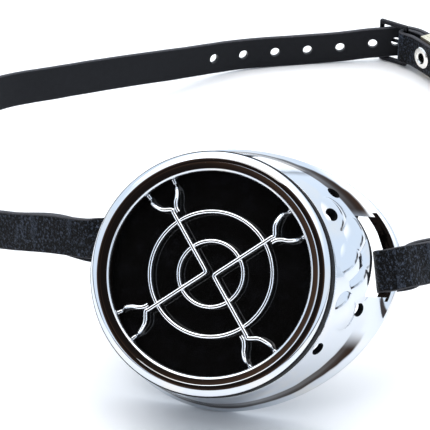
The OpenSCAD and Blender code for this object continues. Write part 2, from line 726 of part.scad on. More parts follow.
module buckle_frame() {
    end_x = buckle_l;
    h = frame_half_h;
    color("silver") at_heel()
        bent_wire([[0, 0, -h], [0, 0, h], [end_x, 0, h], [end_x, 0, -h], [0, 0, -h]], buckle_wire_d);
}

// The prong's wire is bent round the heel bar as an open hook
module buckle_prong() {
    reach = buckle_l + buckle_wire_d / 2 + 0.6;
    color("silver") at_heel() difference() {
        union() {
            translate([0, 0, -loop_h / 2]) cylinder(r = loop_r_in + prong_d, h = loop_h, $fn = 48);
            translate([0, -prong_line, 0]) rotate([0, 90, 0]) cylinder(d = prong_d, h = reach, $fn = wire_fn);
            translate([reach, -prong_line, 0]) sphere(d = prong_d, $fn = wire_fn);
        }
        translate([0, 0, -loop_h]) cylinder(r = loop_r_in, h = 2 * loop_h, $fn = 48);
        translate([-3, hook_end, -loop_h]) cube([8, 4, 2 * loop_h]);
    }
}

eye_cup();
lens_gasket();
lens();
lens_ring();
wire_ring_small();
wire_ring_large();
wire_bar_left();
wire_bar_right();
claw_upper_left();
claw_upper_right();
claw_lower_left();
claw_lower_right();
strap_fold_left();
strap_fold_right();
strap_long();
strap_long_tab();
strap_short();
strap_short_tab();
rivet_left();
rivet_right();
eyelet();
keeper();
buckle_frame();
buckle_prong();
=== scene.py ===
"""Looks of the single-eye goggle: plated cup, lens ring, wire grille and leather strap, on a pale table."""

import math

import bpy
import numpy as np
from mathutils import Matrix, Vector


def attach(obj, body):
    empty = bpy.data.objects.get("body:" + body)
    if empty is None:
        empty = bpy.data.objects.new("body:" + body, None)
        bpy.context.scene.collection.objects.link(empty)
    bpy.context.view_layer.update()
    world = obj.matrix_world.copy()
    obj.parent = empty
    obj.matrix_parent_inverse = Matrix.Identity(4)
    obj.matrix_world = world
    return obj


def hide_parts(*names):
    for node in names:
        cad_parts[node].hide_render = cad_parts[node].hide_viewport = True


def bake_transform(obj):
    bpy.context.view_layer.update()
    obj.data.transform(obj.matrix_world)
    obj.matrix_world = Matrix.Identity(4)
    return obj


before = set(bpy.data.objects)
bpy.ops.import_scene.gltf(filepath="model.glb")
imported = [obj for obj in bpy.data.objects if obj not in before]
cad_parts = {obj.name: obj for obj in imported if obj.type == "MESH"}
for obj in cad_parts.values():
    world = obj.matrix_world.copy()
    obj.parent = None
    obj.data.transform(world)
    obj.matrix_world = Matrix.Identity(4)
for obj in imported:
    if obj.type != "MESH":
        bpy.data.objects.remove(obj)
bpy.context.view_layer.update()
MM = 0.001


# ---- from the cup's own frame (+X temple, +Y brow, +Z front, in mm) to the table
TILT, ROLL = math.radians(34), math.radians(7.3)
AXIS_POINT = np.array([15.4, -75.08, 26.3967])
CUP_X = np.array([math.cos(ROLL), math.sin(ROLL) * math.sin(TILT), math.sin(ROLL) * math.cos(TILT)])
CUP_Y = np.array([-math.sin(ROLL), math.cos(ROLL) * math.sin(TILT), math.cos(ROLL) * math.cos(TILT)])
CUP_Z = np.array([0, -math.cos(TILT), math.sin(TILT)])


def from_cup(points):
    """Points of the cup's frame on the table, all in mm."""
    points = np.asarray(points, float)
    return AXIS_POINT + points[..., :1] * CUP_X + points[..., 1:2] * CUP_Y + points[..., 2:] * CUP_Z


def unit(vectors):
    vectors = np.asarray(vectors, float)
    return vectors / np.linalg.norm(vectors, axis=-1, keepdims=True)


# ---- meshes
def link(name, mesh):
    piece = bpy.data.objects.new(name, mesh)
    bpy.context.scene.collection.objects.link(piece)
    return piece


def mesh_from(name, points, faces):
    mesh = bpy.data.meshes.new(name)
    mesh.from_pydata([tuple(p) for p in np.asarray(points, float) * MM], [], [tuple(f) for f in faces])
    mesh.validate()
    mesh.update()
    return mesh


def woven(name, rows, ring=False, flip=False):
    """A closed skin through rows of points, each a closed loop. ring joins the last row to the first."""
    count, across = rows.shape[:2]
    last = count if ring else count - 1
    faces = []
    for r in range(last):
        a, b = r * across, (r + 1) % count * across
        for c in range(across):
            d = (c + 1) % across
            faces.append((a + c, a + d, b + d, b + c))
    if not ring:
        faces.append(tuple(range(across - 1, -1, -1)))
        faces.append(tuple(range((count - 1) * across, count * across)))
    if flip:
        faces = [f[::-1] for f in faces]
    return mesh_from(name, rows.reshape(-1, 3), faces)


def plain_mesh(piece):
    """The piece with its modifiers worked into its mesh."""
    seen = piece.evaluated_get(bpy.context.evaluated_depsgraph_get())
    mesh = bpy.data.meshes.new_from_object(seen)
    old = piece.data
    piece.modifiers.clear()
    piece.data = mesh
    if old.users == 0:
        (bpy.data.meshes if isinstance(old, bpy.types.Mesh) else bpy.data.curves).remove(old)
    return piece


def joined(piece, tools, how):
    """Cuts tools from the piece, or adds them to it, and removes the tools."""
    for tool in tools:
        step = piece.modifiers.new("step", "BOOLEAN")
        step.object, step.operation, step.solver = tool, how, "MANIFOLD"
    plain_mesh(piece)
    for tool in tools:
        mesh = tool.data
        bpy.data.objects.remove(tool)
        bpy.data.meshes.remove(mesh)
    return piece


def smooth(piece, angle=32):
    for face in piece.data.polygons:
        face.use_smooth = True
    piece.data.set_sharp_from_angle(angle=math.radians(angle))
    return piece


def prism(outline, low, high):
    """An upright block of the cup's frame over an outline, as a cutter."""
    outline = np.asarray(outline, float)
    rows = [np.column_stack([outline, np.full(len(outline), z)]) for z in (low, high)]
    return link("cutter", woven("cutter", from_cup(np.array(rows))))


def rod(start, direction, radius, length, sides=48):
    """A plain cylinder on the table, in mm, as a cutter."""
    n = unit(direction)
    s = unit(np.cross(n, [0.13, 0.31, 0.94]))
    u = np.cross(n, s)
    a = np.linspace(0, 2 * np.pi, sides, endpoint=False)
    ring = radius * (np.cos(a)[:, None] * s + np.sin(a)[:, None] * u)
    start = np.asarray(start, float)
    return link("cutter", woven("cutter", np.array([start + ring, start + length * n + ring])))


def finish(piece, body, slot, material, *nodes):
    """Puts a finished piece on its body, in place of the CAD nodes it stands for. A piece given two bodies
    only has its transform baked and stays on no body.
    """
    if material.name not in piece.data.materials:
        piece.data.materials.append(material)
    if isinstance(body, str):
        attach(piece, body)
    else:
        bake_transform(piece)
    if nodes:
        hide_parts(*nodes)
    return piece


# ---- shader maths
class Sum:
    """A socket that takes part in sums."""

    def __init__(self, tree, socket):
        self.tree, self.socket = tree, socket

    def _with(self, how, *others):
        inputs = dict(enumerate((self,) + others))
        return Sum(self.tree, add_node(self.tree, "ShaderNodeMath", inputs, operation=how).outputs[0])

    def __add__(self, other):
        return self._with("ADD", other)

    def __sub__(self, other):
        return self._with("SUBTRACT", other)

    def __mul__(self, other):
        return self._with("MULTIPLY", other)

    def __rsub__(self, other):
        return self * -1 + other

    __radd__, __rmul__ = __add__, __mul__

    def size(self):
        return self._with("ABSOLUTE")

    def ramp(self, low, high):
        """0 below low, 1 above high, with a soft change between them."""
        node = add_node(self.tree, "ShaderNodeMapRange", {"Value": self, "From Min": low, "From Max": high},
                        interpolation_type="SMOOTHSTEP")
        return Sum(self.tree, node.outputs["Result"])


def feed(tree, socket, value):
    """Gives a socket its value: a number, a colour, or a link from another socket."""
    if isinstance(value, Sum):
        value = value.socket
    if isinstance(value, bpy.types.NodeSocket):
        tree.links.new(value, socket)
    else:
        socket.default_value = value


def add_node(tree, kind, inputs=None, **settings):
    """A node with its settings, which are made first, and its inputs."""
    node = tree.nodes.new(kind)
    for key, value in settings.items():
        setattr(node, key, value)
    for key, value in (inputs or {}).items():
        feed(tree, node.inputs[key], value)
    return node


def rgb(r, g, b):
    return (r, g, b, 1)


def mix_colour(tree, share, first, second):
    """The first colour where share is 0, the second where it is 1. Inputs 6 and 7 are the colours."""
    inputs = {"Factor": share, 6: first, 7: second}
    return add_node(tree, "ShaderNodeMix", inputs, data_type="RGBA").outputs[2]


class Finish:
    """A material being made: its tree, its place in mm and its shader."""

    def __init__(self, name, place="Object"):
        self.material = bpy.data.materials.new(name)
        self.material.use_nodes = True
        self.tree = self.material.node_tree
        self.tree.nodes.clear()
        self.shader = add_node(self.tree, "ShaderNodeBsdfPrincipled")
        out = add_node(self.tree, "ShaderNodeOutputMaterial")
        self.tree.links.new(self.shader.outputs[0], out.inputs[0])
        where = add_node(self.tree, "ShaderNodeTexCoord").outputs[place]
        scale = 1 / MM if place == "Object" else 1
        mapping = add_node(self.tree, "ShaderNodeMapping", {"Vector": where, "Scale": (scale,) * 3})
        self.place = mapping.outputs[0]

    def stretched(self, x, y, z):
        return add_node(self.tree, "ShaderNodeMapping", {"Vector": self.place, "Scale": (x, y, z)}).outputs[0]

    def noise(self, scale, detail=3, rough=0.5, place=None):
        node = add_node(self.tree, "ShaderNodeTexNoise",
                        {"Vector": place or self.place, "Scale": scale, "Detail": detail, "Roughness": rough})
        return Sum(self.tree, node.outputs[0])

    def cells(self, scale, place):
        """Distance to the borders of a pattern of cells."""
        node = add_node(self.tree, "ShaderNodeTexVoronoi", {"Vector": place, "Scale": scale},
                        feature="DISTANCE_TO_EDGE")
        return Sum(self.tree, node.outputs["Distance"])

    def along(self, axis):
        """Distance along an axis of the eye cup, from its origin, in mm."""
        moved = add_node(self.tree, "ShaderNodeVectorMath", {0: self.place, 1: tuple(AXIS_POINT)},
                         operation="SUBTRACT")
        node = add_node(self.tree, "ShaderNodeVectorMath", {0: moved.outputs[0], 1: tuple(axis)},
                        operation="DOT_PRODUCT")
        return Sum(self.tree, node.outputs["Value"])

    def set(self, **values):
        for key, value in values.items():
            feed(self.tree, self.shader.inputs[key.replace("_", " ")], value)

    def bump(self, height, depth_mm, strength=1.0):
        node = add_node(self.tree, "ShaderNodeBump",
                        {"Height": height, "Distance": depth_mm * MM, "Strength": strength})
        self.tree.links.new(node.outputs[0], self.shader.inputs["Normal"])


def plating():
    """Bright plating over moulded plastic, with a dark brown band in the rim's hollow that is a painted
    reflection.
    """
    f = Finish("bright_plating")
    patches = f.noise(0.12, 2).ramp(0.45, 0.75)
    smears = f.noise(0.5, 4, 0.6, f.stretched(1, 0.25, 1)).ramp(0.5, 0.8)
    bright = mix_colour(f.tree, patches, rgb(0.62, 0.65, 0.69), rgb(0.68, 0.665, 0.645))
    front, up = f.along(CUP_Z), f.along(CUP_Y)
    # a painted reflection: a dark brown band round the rim's hollow, at its top and bottom
    outside_hollow = (front + f.noise(0.09, 2) * 2 - 6.7).size().ramp(1.7, 2.3)
    painted_reflection_band = (1 - outside_hollow) * up.size().ramp(12, 17)
    f.set(Base_Color=mix_colour(f.tree, painted_reflection_band, bright, rgb(0.028, 0.016, 0.011)),
          Metallic=1.0, Roughness=smears * 0.035 + 0.025)
    f.bump(f.noise(0.22, 1) + f.noise(9, 2) * 0.004, 0.02)
    return f.material


def cup_lining_and_shade():
    # black lining of the cup's inside; the same material is painted shade on the strip of wall by the ring,
    # on cut walls and on the ring's side
    f = Finish("black_lining_and_painted_shade")
    f.set(Base_Color=mix_colour(f.tree, f.noise(0.4, 3), rgb(0.006, 0.006, 0.007), rgb(0.014, 0.014, 0.015)),
          Roughness=f.noise(1.2, 2) * 0.2 + 0.5, Specular_IOR_Level=0.04)
    f.bump(f.noise(3, 3), 0.02)
    return f.material


def lens_black():
    f = Finish("black_lens")
    haze = f.noise(0.3, 4, 0.6).ramp(0.45, 0.8)
    f.set(Base_Color=mix_colour(f.tree, haze, rgb(0.003, 0.003, 0.003), rgb(0.006, 0.006, 0.007)),
          Roughness=haze * 0.03 + 0.015, IOR=1.45)
    f.bump(f.noise(0.08, 1), 0.01)
    return f.material


def drawn_wire():
    f = Finish("drawn_wire")
    streaks = f.noise(3, 3).ramp(0.4, 0.8)
    f.set(Base_Color=mix_colour(f.tree, streaks, rgb(0.9, 0.91, 0.93), rgb(0.74, 0.74, 0.75)),
          Metallic=1.0, Roughness=streaks * 0.06 + 0.05)
    f.bump(f.noise(12, 2), 0.004)
    return f.material


def nickel():
    f = Finish("worn_nickel")
    wear = f.noise(1.6, 4, 0.6).ramp(0.45, 0.75)
    f.set(Base_Color=mix_colour(f.tree, wear, rgb(0.86, 0.84, 0.8), rgb(0.68, 0.64, 0.56)),
          Metallic=1.0, Roughness=wear * 0.14 + 0.12)
    f.bump(f.noise(10, 3), 0.01)
    return f.material


def keeper_brass():
    f = Finish("pale_brass")
    wear = f.noise(1.2, 4, 0.6).ramp(0.45, 0.75)
    f.set(Base_Color=mix_colour(f.tree, wear, rgb(0.83, 0.74, 0.56), rgb(0.6, 0.5, 0.33)),
          Metallic=1.0, Roughness=wear * 0.14 + 0.14)
    f.bump(f.noise(10, 3), 0.01)
    return f.material


def blackened_steel():
    f = Finish("blackened_steel")
    wear = f.noise(1.4, 4, 0.6).ramp(0.5, 0.8)
    f.set(Base_Color=mix_colour(f.tree, wear, rgb(0.02, 0.02, 0.023), rgb(0.07, 0.065, 0.06)),
          Metallic=1.0, Roughness=wear * 0.15 + 0.28)
    f.bump(f.noise(9, 3), 0.01)
    return f.material


def rubber():
    f = Finish("gasket_rubber")
    f.set(Base_Color=mix_colour(f.tree, f.noise(2, 3), rgb(0.02, 0.02, 0.02), rgb(0.04, 0.04, 0.042)),
          Roughness=0.7)
    f.bump(f.noise(6, 3), 0.03)
    return f.material


def leather_grain():
    """The outside of the strap. Its UV map runs along and across the strap, in mm."""
    f = Finish("grained_leather", "UV")
    crumple = f.noise(1.3, 5, 0.6, f.stretched(1.3, 0.75, 1))
    ridges = (crumple - 0.5).size().ramp(0.0, 0.05)
    pebbles = f.cells(1.5, f.stretched(1.2, 0.9, 1)).ramp(0.0, 0.35)
    folds = f.noise(0.42, 2, 0.5, f.stretched(1, 0.16, 1)).ramp(0.52, 0.7)
    # the bluish grey on the grain's ridges is a painted highlight
    painted_ridge_highlight = (crumple * 1.1 + pebbles * 0.2 + folds * 0.2 - 0.2).ramp(0.36, 0.6)
    f.set(Base_Color=mix_colour(f.tree, painted_ridge_highlight * ridges, rgb(0.001, 0.0012, 0.002), rgb(0.062, 0.077, 0.11)),
          Roughness=pebbles * -0.14 + 0.5, Specular_IOR_Level=0.16)
    f.bump(crumple * 1.2 + pebbles * 0.4 + ridges * 0.3 + folds * 0.9, 0.9)
    return f.material


def leather_inside():
    f = Finish("smooth_leather_back", "UV")
    cloud = f.noise(0.5, 4, 0.6)
    f.set(Base_Color=mix_colour(f.tree, cloud, rgb(0.004, 0.0045, 0.006), rgb(0.009, 0.01, 0.013)),
          Roughness=f.noise(1.5, 3) * 0.15 + 0.6, Specular_IOR_Level=0.16)
    f.bump(f.noise(2.4, 5, 0.65), 0.05)
    return f.material


def leather_edge():
    f = Finish("painted_leather_edge", "UV")
    flecks = f.noise(1.3, 3, 0.6, f.stretched(1, 4, 1)).ramp(0.5, 0.75)
    f.set(Base_Color=mix_colour(f.tree, flecks, rgb(0.012, 0.012, 0.016), rgb(0.075, 0.07, 0.095)),
          Roughness=0.62)
    f.bump(f.noise(2.5, 4, 0.6), 0.12)
    return f.material


PLATING, BLACK_LENS, WIRE, NICKEL, RUBBER = plating(), lens_black(), drawn_wire(), nickel(), rubber()
LINING_AND_SHADE, BRASS, BLACKENED = cup_lining_and_shade(), keeper_brass(), blackened_steel()
GRAIN, INSIDE, EDGE = leather_grain(), leather_inside(), leather_edge()


def two_finishes(piece, dark):
    """The black lining, which is also painted shade, on the faces that are marked dark, and plating on the
    others.
    """
    piece.data.materials.append(PLATING)
    piece.data.materials.append(LINING_AND_SHADE)
    piece.data.polygons.foreach_set("material_index", dark.astype(int))


# ---- eye cup: sizes in its own frame, in mm
LIP_R, CUP_DEPTH, CUP_WALL, PLATE_T = 1.0, 18.8, 1.6, 1.6
TEMPLE, NOSE, BROW, CHEEK, LIFT = 42.0, 33.0, 32.0, 32.3, 4.5
BODY_R, NECK_R, SEAT_R, SIGHT_R = 28.3, 27.0, 25.1, 23.0
NECK_TOP, SEAT_Z, INNER_TOP = 22.6, 19.1, CUP_DEPTH - PLATE_T
DOME_R, DOME_H, DOME_REACH = 4.1, 0.9, 6
TEMPLE_POWER = 1.85  # of the oval on the temple side; an ellipse has 2
SLOT_MIDDLE, SLOT_LENGTH, SILL_LENGTH, TEMPLE_SILL, NOSE_SILL = 5.4, 19.4, 21.4, 3.1, 2.2
VENT_R, LINED_ABOVE = 1.7, 18.1


def swell(v):
    return np.sign(v) * np.abs(v) ** (2 / TEMPLE_POWER)


def rim_edge(a):
    """The rim's edge at angles round the lens axis, in radians."""
    c, s = np.cos(a), np.sin(a)
    temple = np.stack([TEMPLE * swell(c), LIFT + np.where(s >= 0, BROW - LIFT, CHEEK + LIFT) * swell(s)], -1)
    nose = np.stack([NOSE * c, np.where(s >= 0, BROW, CHEEK) * s], -1)
    return np.where(c[..., None] >= 0, temple, nose)


def flare(z):
    """The rim's share in the wall's outline at a height: 1 at the rim, 0 at the front."""
    t = (z - 2 * LIP_R) / (CUP_DEPTH - 2 * LIP_R)
    return 0.8 * (1 - t) + 0.2 * np.maximum(0, 1 - t / 0.22) ** 2


def cup_row(a, z, g, inset):
    """Points at one height, a share g of the way from the round body to the rim, moved in by an inset."""
    n = np.stack([np.cos(a), np.sin(a)], -1)
    flat = BODY_R * n * (1 - g) + rim_edge(a) * g - inset * n
    return np.column_stack([flat, np.full(len(a), z)])


def round_row(a, z, r):
    return np.column_stack([r * np.cos(a), r * np.sin(a), np.full(len(a), z)])


def wall_at(a, z):
    return cup_row(np.array([a]), z, flare(z), 0)[0]


def wall_normal(a, z):
    step, rise = math.radians(1), 0.3
    round_it = wall_at(a + step, z) - wall_at(a - step, z)
    return unit(np.cross(round_it, wall_at(a, z + rise) - wall_at(a, z - rise)))


def rim_angle(y, side):
    """The angle at which the rim's edge passes a height y, on the temple (1) or the nose side (-1)."""
    low, high = -math.pi / 3, math.pi / 3
    for _ in range(30):
        mid = (low + high) / 2
        if rim_edge(np.array([mid if side > 0 else math.pi - mid]))[0, 1] < y:
            low = mid
        else:
            high = mid
    return mid if side > 0 else math.pi - mid


def edge_point(y, side, inset):
    return [rim_edge(np.array([rim_angle(y, side)]))[0, 0] - side * inset, y]


def edge_band(side, start, end, length, steps=24):
    """A flat outline that follows the rim's edge from one inset to another, round the middle of the slots."""
    ys = SLOT_MIDDLE - length / 2 + length * np.arange(steps + 1) / steps
    return [edge_point(y, side, start) for y in ys] + [edge_point(y, side, end) for y in ys[::-1]]


# domes and vents as (row, height); a row is ROW_ANGLE further round the cup
DOMES = [(2.5, 13.4), (1.5, 10.4), (0.5, 13.4), (0.5, 7.6), (-0.5, 10.4), (-1.5, 13.4)]
VENTS = [(3.4, 7.7), (2.4, 15.2), (-1.5, 9.0), (-3.05, 15.4)]
ROW_ANGLE = math.radians(12.2)
DOME_SIDE = 62  # degrees to each side of the temple where the skin is fine enough for the domes


def with_domes(wall):
    """The wall's rows, raised to balls that stand DOME_H out of it."""
    along_a = np.roll(wall, -1, 1) - np.roll(wall, 1, 1)
    along_z = np.gradient(wall, axis=0)
    normal = unit(np.cross(along_a, along_z))
    ball_r = (DOME_R ** 2 + DOME_H ** 2) / (2 * DOME_H)
    rise = np.zeros(wall.shape[:2])
    for row, z in DOMES:
        a = row * ROW_ANGLE
        centre = wall_at(a, z) - (ball_r - DOME_H) * wall_normal(a, z)
        out = wall - centre
        toward = (out * normal).sum(-1)
        reach = toward ** 2 - ((out ** 2).sum(-1) - ball_r ** 2)
        near = (np.linalg.norm(wall - wall_at(a, z), axis=-1) < DOME_REACH) & (reach > 0)
        rise = np.where(near, np.maximum(rise, np.sqrt(np.maximum(reach, 0)) - toward), rise)
    return wall + np.maximum(rise, 0)[..., None] * normal


def vent_cutter(row, z):
    """A rod through the wall, along its normal."""
    n = wall_normal(row * ROW_ANGLE, z)
    world_n = n[0] * CUP_X + n[1] * CUP_Y + n[2] * CUP_Z
    return rod(from_cup(wall_at(row * ROW_ANGLE, z)) - 4 * world_n, world_n, VENT_R, 8)


def eye_cup():
    angles = np.radians(np.concatenate([np.arange(-DOME_SIDE, DOME_SIDE, 0.4),
                                        np.arange(DOME_SIDE, 360 - DOME_SIDE, 1.1)]))
    lip = [cup_row(angles, LIP_R * (1 + math.sin(t)), 1, LIP_R * (1 - math.cos(t)))
           for t in np.radians(np.arange(-90, 61, 10))]
    heights = 2 * LIP_R + (CUP_DEPTH - 2 * LIP_R) * np.linspace(0.03, 1, 84) ** 1.25
    wall = with_domes(np.array([cup_row(angles, z, flare(z), 0) for z in heights]))
    front = [round_row(angles, z, r) for z, r in (
        (CUP_DEPTH, NECK_R + 0.2), (CUP_DEPTH + 0.1, NECK_R), (NECK_TOP - 0.1, NECK_R),
        (NECK_TOP, NECK_R - 0.1), (NECK_TOP, SEAT_R), (SEAT_Z, SEAT_R), (SEAT_Z, SIGHT_R),
        (INNER_TOP, SIGHT_R))]
    inner_rise = INNER_TOP - 2 * LIP_R
    inner = []
    for z in 2 * LIP_R + inner_rise * np.linspace(1, 0, 30) ** 1.4:
        drop = 0.7 * (z < INNER_TOP - 0.1) * (INNER_TOP - z) / inner_rise
        inner.append(cup_row(angles, z - drop, flare(z), CUP_WALL))
    inner += [cup_row(angles, 0.6, 1, CUP_WALL), cup_row(angles, 0.12, 1, CUP_WALL - 0.35)]
    rows = from_cup(np.array(lip + list(wall) + front + inner))
    # the finished skin faces inward, a fault
    cup = link("cup_shell", woven("cup_shell", rows, ring=True, flip=True))
    # dark are the inside, lined black, and the strip of the wall next to the ring, which is painted shade in
    # the gap under the ring
    row_of_face = np.arange(len(cup.data.polygons)) // len(angles)
    wall_end = len(lip) + len(wall)
    painted_shade_strip = (row_of_face >= len(lip) + (heights < LINED_ABOVE).sum()) & (row_of_face < wall_end)
    two_finishes(cup, (row_of_face >= wall_end + len(front) - 1) | painted_shade_strip)
    joined(cup, [prism(edge_band(1, 1.1, 4, SILL_LENGTH), 0.15, TEMPLE_SILL),
                 prism(edge_band(-1, 0.9, 2, SILL_LENGTH), 0.15, NOSE_SILL)], "UNION")
    slots = [prism(edge_band(1, 4, 6.6, SLOT_LENGTH), -1, 9.4),
             prism(edge_band(1, -3, 4.01, SLOT_LENGTH), TEMPLE_SILL, 9.4),
             prism(edge_band(-1, -3, 7, SLOT_LENGTH), NOSE_SILL, 5.1)]
    # so is the inner wall of the first slot, which its cutter's second 25 faces leave, and all of the vents:
    # on these cut walls the black is painted shade
    side = np.arange(len(slots[0].data.polygons))
    two_finishes(slots[0], (side >= 25) & (side < 50))
    vents = [vent_cutter(row, z) for row, z in VENTS]
    for vent in vents:
        two_finishes(vent, np.full(len(vent.data.polygons), True))
    joined(cup, slots + vents, "DIFFERENCE")
    return finish(smooth(cup, 24), "cup", "plated", PLATING, "eye_cup")


# ---- lens ring
RING_R, THREAD_R, MOUTH_R, RING_FOOT, LIP_UNDER = 29, 27.1, 24, 18.9, 22.95


def turned(name, profile, sides=256):
    """A ring turned round the lens axis from its profile of (radius, height)."""
    a = np.linspace(0, 2 * np.pi, sides, endpoint=False)
    rows = from_cup(np.array([round_row(a, z, r) for r, z in profile]))
    return link(name, woven(name, rows, ring=True))


def lens_ring():
    shoulder = [(26.3 + 2.7 * math.cos(t), 24.8 + 2.2 * math.sin(t)) for t in np.radians(np.arange(0, 91, 6))]
    side = [(THREAD_R, RING_FOOT), (28.6, RING_FOOT), (28.9, 19.0), (RING_R, 19.25), (RING_R, 20.15),
            (28.7, 20.35), (28.7, 20.65), (RING_R, 20.85)]
    mouth = [(26.1, 26.95), (25.95, 26.88), (24.75, 26.84), (24.45, 26.75), (24.15, 26.5), (MOUTH_R, 26.1),
             (MOUTH_R, LIP_UNDER), (THREAD_R, LIP_UNDER)]
    profile = side + shoulder + mouth
    ring = turned("screw_ring", profile)
    # its side below the shoulder is matt, and painted dark as shade along the ring's edge
    stretch = np.arange(len(ring.data.polygons)) // (len(ring.data.polygons) // len(profile))
    two_finishes(ring, (stretch >= 7) & (stretch <= 12))
    return finish(smooth(ring, 40), "ring", "plated", PLATING, "lens_ring")


# ---- wire grille
def wire_tree():
    """Geometry Nodes that turn a line into a wire with closed ends."""
    tree = bpy.data.node_groups.new("wire_along_line", "GeometryNodeTree")
    for name, way, kind in (("Line", "INPUT", "Geometry"), ("Wire radius", "INPUT", "Float"),
                            ("Sides", "INPUT", "Int"), ("Finish", "INPUT", "Material"),
                            ("Wire", "OUTPUT", "Geometry")):
        tree.interface.new_socket(name, in_out=way, socket_type="NodeSocket" + kind)
    start, end = tree.nodes.new("NodeGroupInput"), tree.nodes.new("NodeGroupOutput")
    circle = add_node(tree, "GeometryNodeCurvePrimitiveCircle", {"Radius": start.outputs["Wire radius"],
                                                                "Resolution": start.outputs["Sides"]})
    tube = add_node(tree, "GeometryNodeCurveToMesh", {"Curve": start.outputs["Line"],
                                                     "Profile Curve": circle.outputs[0], "Fill Caps": True})
    soft = add_node(tree, "GeometryNodeSetShadeSmooth", {"Geometry": tube.outputs[0]})
    real = add_node(tree, "GeometryNodeRealizeInstances", {"Geometry": soft.outputs[0]})
    coat = add_node(tree, "GeometryNodeSetMaterial",
                    {"Geometry": real.outputs[0], "Material": start.outputs["Finish"]})
    tree.links.new(coat.outputs[0], end.inputs[0])
    return tree


WIRE_TREE = wire_tree()


def wire(name, points, radius, material, closed=False, sides=20):
    """A wire through points of the table, in mm, as a plain mesh."""
    line = bpy.data.curves.new(name, "CURVE")
    line.dimensions = "3D"
    spline = line.splines.new("POLY")
    spline.points.add(len(points) - 1)
    spline.points.foreach_set("co", np.column_stack([np.asarray(points) * MM, np.ones(len(points))]).ravel())
    spline.use_cyclic_u = closed
    carrier = link(name + "_line", line)
    maker = carrier.modifiers.new("wire", "NODES")
    maker.node_group = WIRE_TREE
    keys = {i.name: i.identifier for i in WIRE_TREE.interface.items_tree if i.in_out == "INPUT"}
    maker[keys["Wire radius"]] = radius * MM
    maker[keys["Sides"]] = sides
    maker[keys["Finish"]] = material
    seen = carrier.evaluated_get(bpy.context.evaluated_depsgraph_get())
    mesh = bpy.data.meshes.new_from_object(seen)
    bpy.data.objects.remove(carrier)
    bpy.data.curves.remove(line)
    return link(name, mesh)


def catmull(points, steps):
    """The curve that the strap and the wires follow through their points."""
    p = np.asarray(points, float)
    out = []
    for i in range(len(p) - 1):
        a, b, c, d = p[max(i - 1, 0)], p[i], p[i + 1], p[min(i + 2, len(p) - 1)]
        for k in range(steps):
            t = k / steps
            out.append(0.5 * (2 * b + (c - a) * t + (2 * a - 5 * b + 4 * c - d) * t * t
                              + (3 * b - a - 3 * c + d) * t ** 3))
    return np.array(out + [p[-1]])


WIRE_R, BARS_Z, RINGS_Z, TIP_R, TIP_Z = 0.5, 25.3, 24.28, 24.3, 22.4
APEX = np.array([-0.85, 0.4, BARS_Z])
UPPER_CLAW, LOWER_CLAW, CLAW_ROOT = 122.0, 210.5, 18.0


def polar(r, a, z):
    return [r * math.cos(math.radians(a)), r * math.sin(math.radians(a)), z]


def tine(a, side):
    """A claw's tine leaves the bar to one side and dips. Its points have a radius, a turn and a height."""
    return [polar(r, a + turn * side, z) for r, turn, z in (
        (CLAW_ROOT + 0.9, 5.5, BARS_Z - 0.05), (CLAW_ROOT + 2.1, 7.7, BARS_Z - 0.35),
        (CLAW_ROOT + 3.8, 9, BARS_Z - 1.1), (TIP_R - 1.4, 8.5, TIP_Z + 0.25), (TIP_R, 8.4, TIP_Z + 0.03))]


def arm(a):
    """The straight arm from the bend out to the root of a claw."""
    root = np.array(polar(CLAW_ROOT - 0.3, a, BARS_Z))
    return [APEX + u * (root - APEX) for u in (0.5, 0.72, 0.86, 0.95, 1)]


def bend(a, corner, b):
    """A tight bend at a corner, between two straight arms."""
    to_a, to_b = unit(np.subtract(a, corner)), unit(np.subtract(b, corner))
    return [corner + 4 * to_a, corner + 1.1 * to_a, corner + 0.18 * (to_a + to_b), corner + 1.1 * to_b,
            corner + 4 * to_b]


def turn_about_axis(points, degrees):
    c, s = math.cos(math.radians(degrees)), math.sin(math.radians(degrees))
    p = np.asarray(points, float)
    return np.column_stack([p[:, 0] * c - p[:, 1] * s, p[:, 0] * s + p[:, 1] * c, p[:, 2]])


def grille():
    around = np.linspace(0, 2 * np.pi, 160, endpoint=False)
    for name, r in (("wire_ring_small", 7.75), ("wire_ring_large", 14.7)):
        piece = wire("inner_" + name, from_cup(round_row(around, RINGS_Z, r)), WIRE_R, WIRE, closed=True)
        finish(piece, "grille", "wire", WIRE, name)
    upper, lower = (arm(a) + tine(a, 1) for a in (UPPER_CLAW, LOWER_CLAW))
    bar = catmull(upper[::-1] + bend(upper[0], APEX, lower[0]) + lower, 8)
    for side, turn in (("left", 0), ("right", 180)):
        piece = wire("bent_bar_" + side, from_cup(turn_about_axis(bar, turn)), WIRE_R, WIRE)
        finish(piece, "grille", "wire", WIRE, "wire_bar_" + side)
    for place, turn, a in (("upper_left", 0, UPPER_CLAW), ("lower_left", 0, LOWER_CLAW),
                           ("lower_right", 180, UPPER_CLAW), ("upper_right", 180, LOWER_CLAW)):
        beside = [polar(r, a - 3.9, BARS_Z) for r in (CLAW_ROOT - 1.6, CLAW_ROOT - 0.4)]
        line = catmull(beside + tine(a, -1), 8)
        piece = wire("tine_" + place, from_cup(turn_about_axis(line, turn)), WIRE_R, WIRE)
        finish(piece, "grille", "wire", WIRE, "claw_" + place)


# ---- leather strap, through points of [x, y, height, lean, distance to the folded layer]
STRAP_W, STRAP_T, EDGE_R, STEPS = 10.2, 1.4, 0.32, 12
LOW, BAR_H = 5.22, 7.12  # heights of the strap's middle where it lies on the table, and at the buckle
AH = AXIS_POINT[2]
PLAN = AXIS_POINT * [1, 1, 0]
NOSE_Z, TEMPLE_Z, BACK_Z = 3.2, 4.1, -1.0  # heights in the cup's frame of the front and the folded layer
NOSE_Y, TEMPLE_Y, NEAR = 9.8, 2.0, 1.6
BUCKLE_GAP, BUCKLE_REACH = 3.3, 1.65  # of the fold round the buckle's heel bar


def line_point(side, y, inset, z, lean, spread):
    """A point of the strap's line that is given by its place on the rim."""
    p = from_cup(np.array(edge_point(y, side, inset) + [z])) - PLAN
    return [p[0], p[1], p[2], lean, spread]


